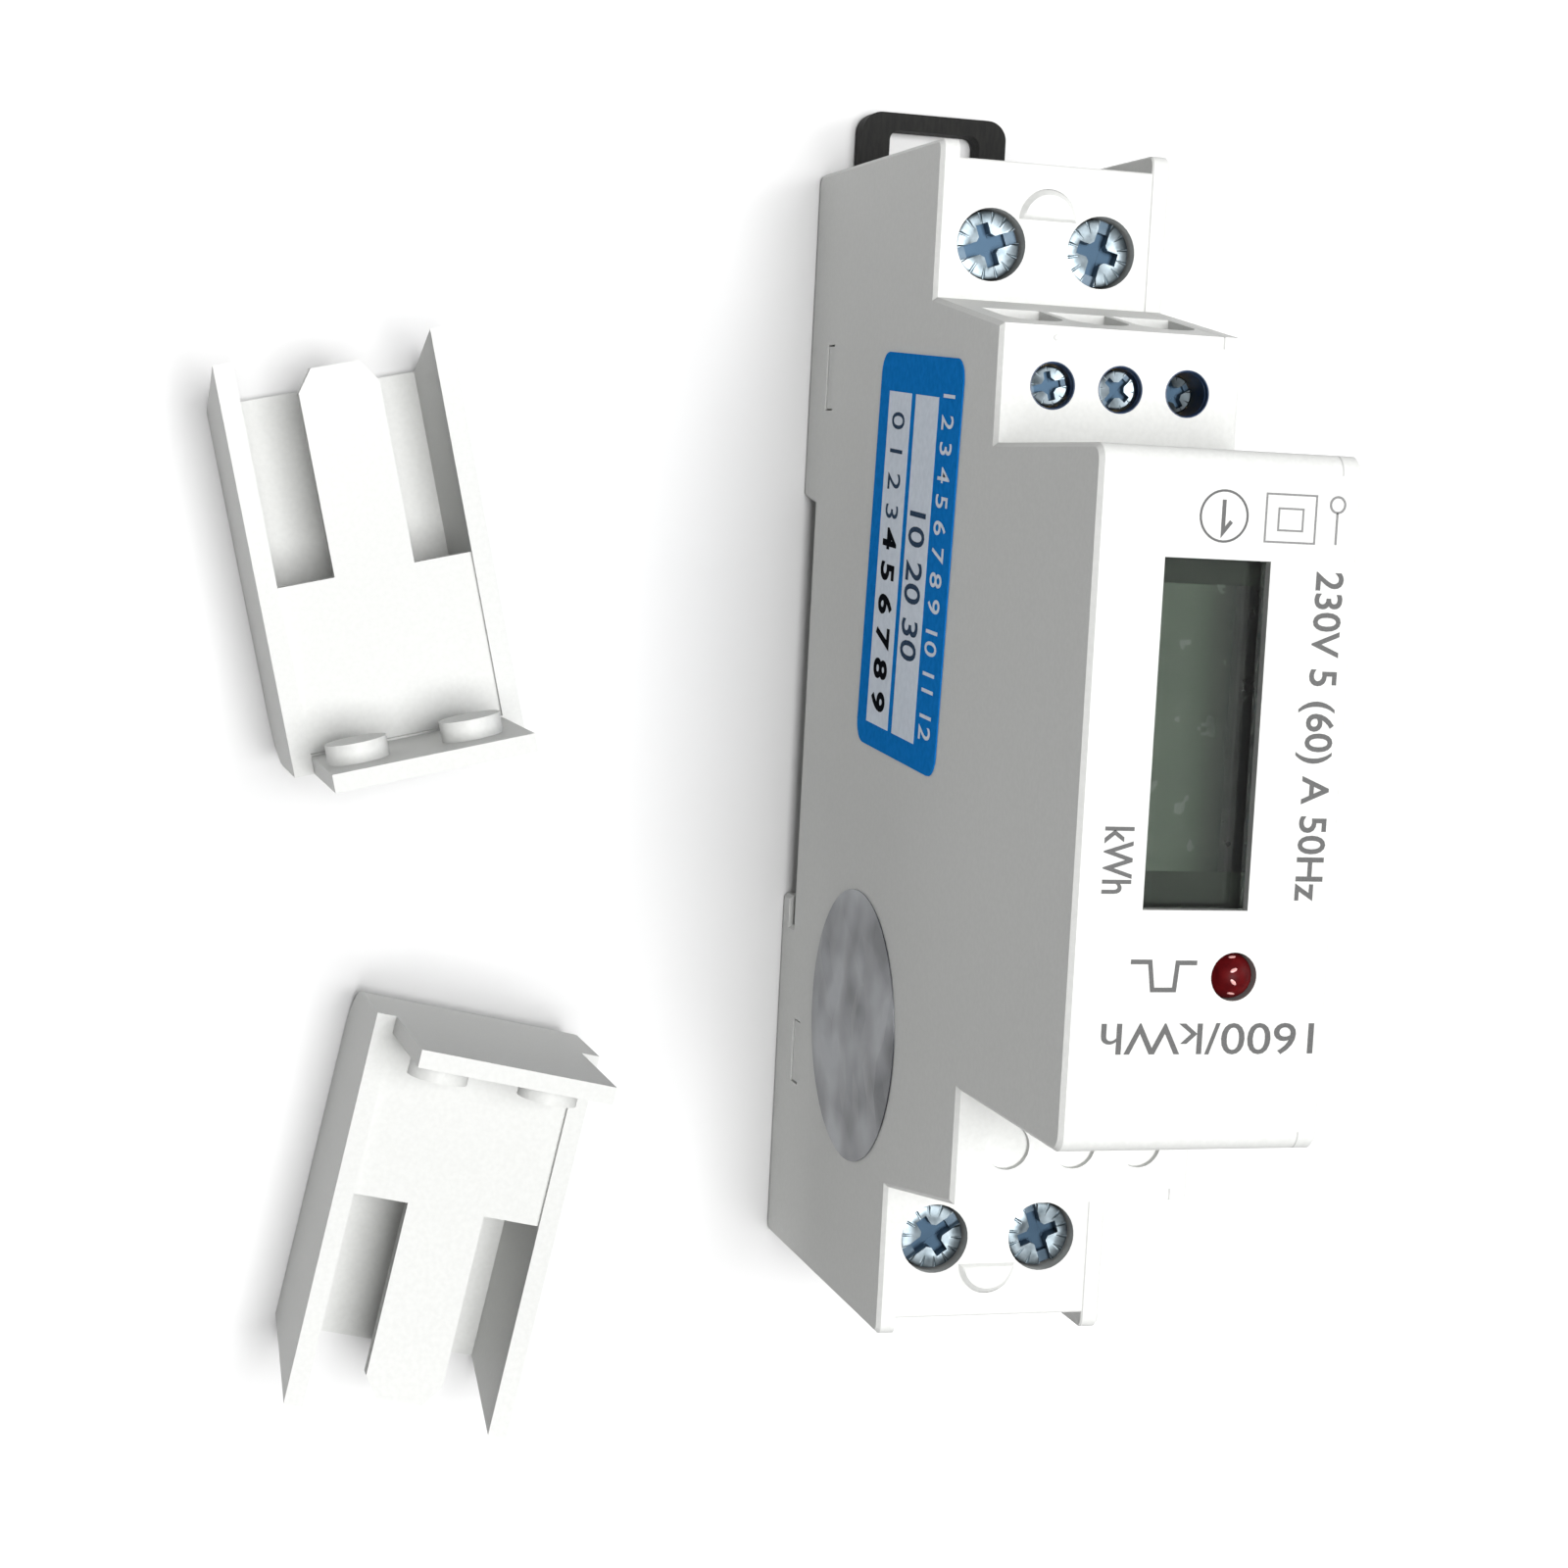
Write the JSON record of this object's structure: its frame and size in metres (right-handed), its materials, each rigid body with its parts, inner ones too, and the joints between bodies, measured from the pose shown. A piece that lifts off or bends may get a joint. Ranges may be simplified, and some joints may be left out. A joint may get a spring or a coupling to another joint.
{
  "type": "din rail energy meter",
  "caption": "Narrow white rail-mounted energy meter with display, pulse lamp and screw terminals, with its two terminal covers lying beside it.",
  "frame": {"origin": "in the meter's back plane, on the centre line of the 35 mm rail and half way across the 18 mm width", "axes": "+X along the rail across the width, +Y from the fixed hook to the sliding clip, +Z from the back to the front; the meter lies on its back"},
  "size_m": [0.068, 0.1072, 0.0654],
  "materials": {
    "white_moulding": "satin",
    "black_moulding": "matte",
    "spring_steel": "satin",
    "clear_window": "polished",
    "display_glass": "polished",
    "pale_moulding": "matte",
    "circuit_board": "satin",
    "red_lens": "polished",
    "dark_blue_moulding": "matte",
    "tinned_bar": "satin",
    "shunt_alloy": "satin",
    "yellow_film_case": "satin",
    "capacitor_sleeve": "satin",
    "blue_epoxy": "satin",
    "resistor_body": "matte",
    "chip_body": "matte",
    "crystal_can": "satin",
    "lead_insulation": "satin",
    "lead_insulation_blue": "satin",
    "blue_label": "satin",
    "foil_seal": "satin",
    "zinc_plated_screw": "polished",
    "plated_cage": "satin",
    "brass_pillar": "satin"
  },
  "bodies": {
    "meter": {"housing": "white_moulding", "side_cover": "white_moulding", "terminal_cover_lower": "white_moulding", "terminal_cover_upper": "white_moulding", "clip_spring": "spring_steel", "display_window": "clear_window", "display_panel": "display_glass", "display_frame": "pale_moulding", "display_board": "circuit_board", "main_board": "circuit_board", "pulse_board": "circuit_board", "pulse_lamp": "red_lens", "pulse_block": "dark_blue_moulding", "line_bar_top": "tinned_bar", "line_bar_bottom": "tinned_bar", "neutral_bar": "tinned_bar", "shunt": "shunt_alloy", "film_capacitor": "yellow_film_case", "smoothing_capacitor": "capacitor_sleeve", "varistor": "blue_epoxy", "dropper_resistor": "resistor_body", "optocoupler": "chip_body", "metering_chip": "chip_body", "controller_chip": "chip_body", "crystal": "crystal_can", "sense_lead_1": "lead_insulation", "sense_lead_2": "lead_insulation", "neutral_lead": "lead_insulation_blue", "certificate_label": "blue_label", "round_seal": "foil_seal", "pulse_pillar_1": "brass_pillar", "pulse_pillar_2": "brass_pillar", "pulse_pillar_3": "brass_pillar"},
    "rail_clip": {"rail_clip": "black_moulding"},
    "top_line_screw": {"top_line_screw": "zinc_plated_screw"},
    "top_line_cage": {"top_line_cage": "plated_cage"},
    "top_neutral_screw": {"top_neutral_screw": "zinc_plated_screw"},
    "top_neutral_cage": {"top_neutral_cage": "plated_cage"},
    "bottom_line_screw": {"bottom_line_screw": "zinc_plated_screw"},
    "bottom_line_cage": {"bottom_line_cage": "plated_cage"},
    "bottom_neutral_screw": {"bottom_neutral_screw": "zinc_plated_screw"},
    "bottom_neutral_cage": {"bottom_neutral_cage": "plated_cage"},
    "pulse_plate_1": {"pulse_plate_1": "plated_cage"},
    "pulse_screw_1": {"pulse_screw_1": "zinc_plated_screw"},
    "pulse_plate_2": {"pulse_plate_2": "plated_cage"},
    "pulse_screw_2": {"pulse_screw_2": "zinc_plated_screw"},
    "pulse_plate_3": {"pulse_plate_3": "plated_cage"},
    "pulse_screw_3": {"pulse_screw_3": "zinc_plated_screw"}
  },
  "joints": [
    {"name": "rail_clip_slide", "type": "slide", "parent": "meter", "child": "rail_clip", "axis": [0, 1, 0], "range_m": [0, 0.0033], "stiffness_N_per_m": 800, "springref_m": -0.004, "deforming": ["clip_spring"]},
    {"name": "top_line_screw_turn", "type": "hinge", "parent": "meter", "child": "top_line_screw", "pos_m": [-0.0048, 0.03711, 0.0303], "axis": [0, 0, 1], "range_deg": [-2885, 5]},
    {"name": "top_line_cage_lift", "type": "slide", "parent": "meter", "child": "top_line_cage", "axis": [0, 0, 1], "range_m": [0, 0.0056]},
    {"name": "top_neutral_screw_turn", "type": "hinge", "parent": "meter", "child": "top_neutral_screw", "pos_m": [0.0038, 0.03711, 0.0303], "axis": [0, 0, 1], "range_deg": [-2885, 5]},
    {"name": "top_neutral_cage_lift", "type": "slide", "parent": "meter", "child": "top_neutral_cage", "axis": [0, 0, 1], "range_m": [0, 0.0056]},
    {"name": "bottom_line_screw_turn", "type": "hinge", "parent": "meter", "child": "bottom_line_screw", "pos_m": [-0.0048, -0.03711, 0.0303], "axis": [0, 0, 1], "range_deg": [-2885, 5]},
    {"name": "bottom_line_cage_lift", "type": "slide", "parent": "meter", "child": "bottom_line_cage", "axis": [0, 0, 1], "range_m": [0, 0.0056]},
    {"name": "bottom_neutral_screw_turn", "type": "hinge", "parent": "meter", "child": "bottom_neutral_screw", "pos_m": [0.0038, -0.03711, 0.0303], "axis": [0, 0, 1], "range_deg": [-2885, 5]},
    {"name": "bottom_neutral_cage_lift", "type": "slide", "parent": "meter", "child": "bottom_neutral_cage", "axis": [0, 0, 1], "range_m": [0, 0.0056]},
    {"name": "pulse_plate_1_press", "type": "slide", "parent": "meter", "child": "pulse_plate_1", "axis": [0, 0, -1], "range_m": [0, 0.0018]},
    {"name": "pulse_screw_1_turn", "type": "hinge", "parent": "pulse_plate_1", "child": "pulse_screw_1", "pos_m": [-0.005, 0.02658, 0.045], "axis": [0, 0, 1], "range_deg": [-1625, 5]},
    {"name": "pulse_plate_2_press", "type": "slide", "parent": "meter", "child": "pulse_plate_2", "axis": [0, 0, -1], "range_m": [0, 0.0018]},
    {"name": "pulse_screw_2_turn", "type": "hinge", "parent": "pulse_plate_2", "child": "pulse_screw_2", "pos_m": [0, 0.02658, 0.045], "axis": [0, 0, 1], "range_deg": [-1625, 5]},
    {"name": "pulse_plate_3_press", "type": "slide", "parent": "meter", "child": "pulse_plate_3", "axis": [0, 0, -1], "range_m": [-0.0017, 0.0001]},
    {"name": "pulse_screw_3_turn", "type": "hinge", "parent": "pulse_plate_3", "child": "pulse_screw_3", "pos_m": [0.005, 0.02658, 0.0433], "axis": [0, 0, 1], "range_deg": [-95, 1535]}
  ],
  "couplings": [
    {"joint": "top_line_screw_turn", "follows": "top_line_cage_lift", "rad_per_m": -8976},
    {"joint": "top_neutral_screw_turn", "follows": "top_neutral_cage_lift", "rad_per_m": -8976},
    {"joint": "bottom_line_screw_turn", "follows": "bottom_line_cage_lift", "rad_per_m": -8976},
    {"joint": "bottom_neutral_screw_turn", "follows": "bottom_neutral_cage_lift", "rad_per_m": -8976},
    {"joint": "pulse_screw_1_turn", "follows": "pulse_plate_1_press", "rad_per_m": -15708},
    {"joint": "pulse_screw_2_turn", "follows": "pulse_plate_2_press", "rad_per_m": -15708},
    {"joint": "pulse_screw_3_turn", "follows": "pulse_plate_3_press", "rad_per_m": -15708}
  ]
}
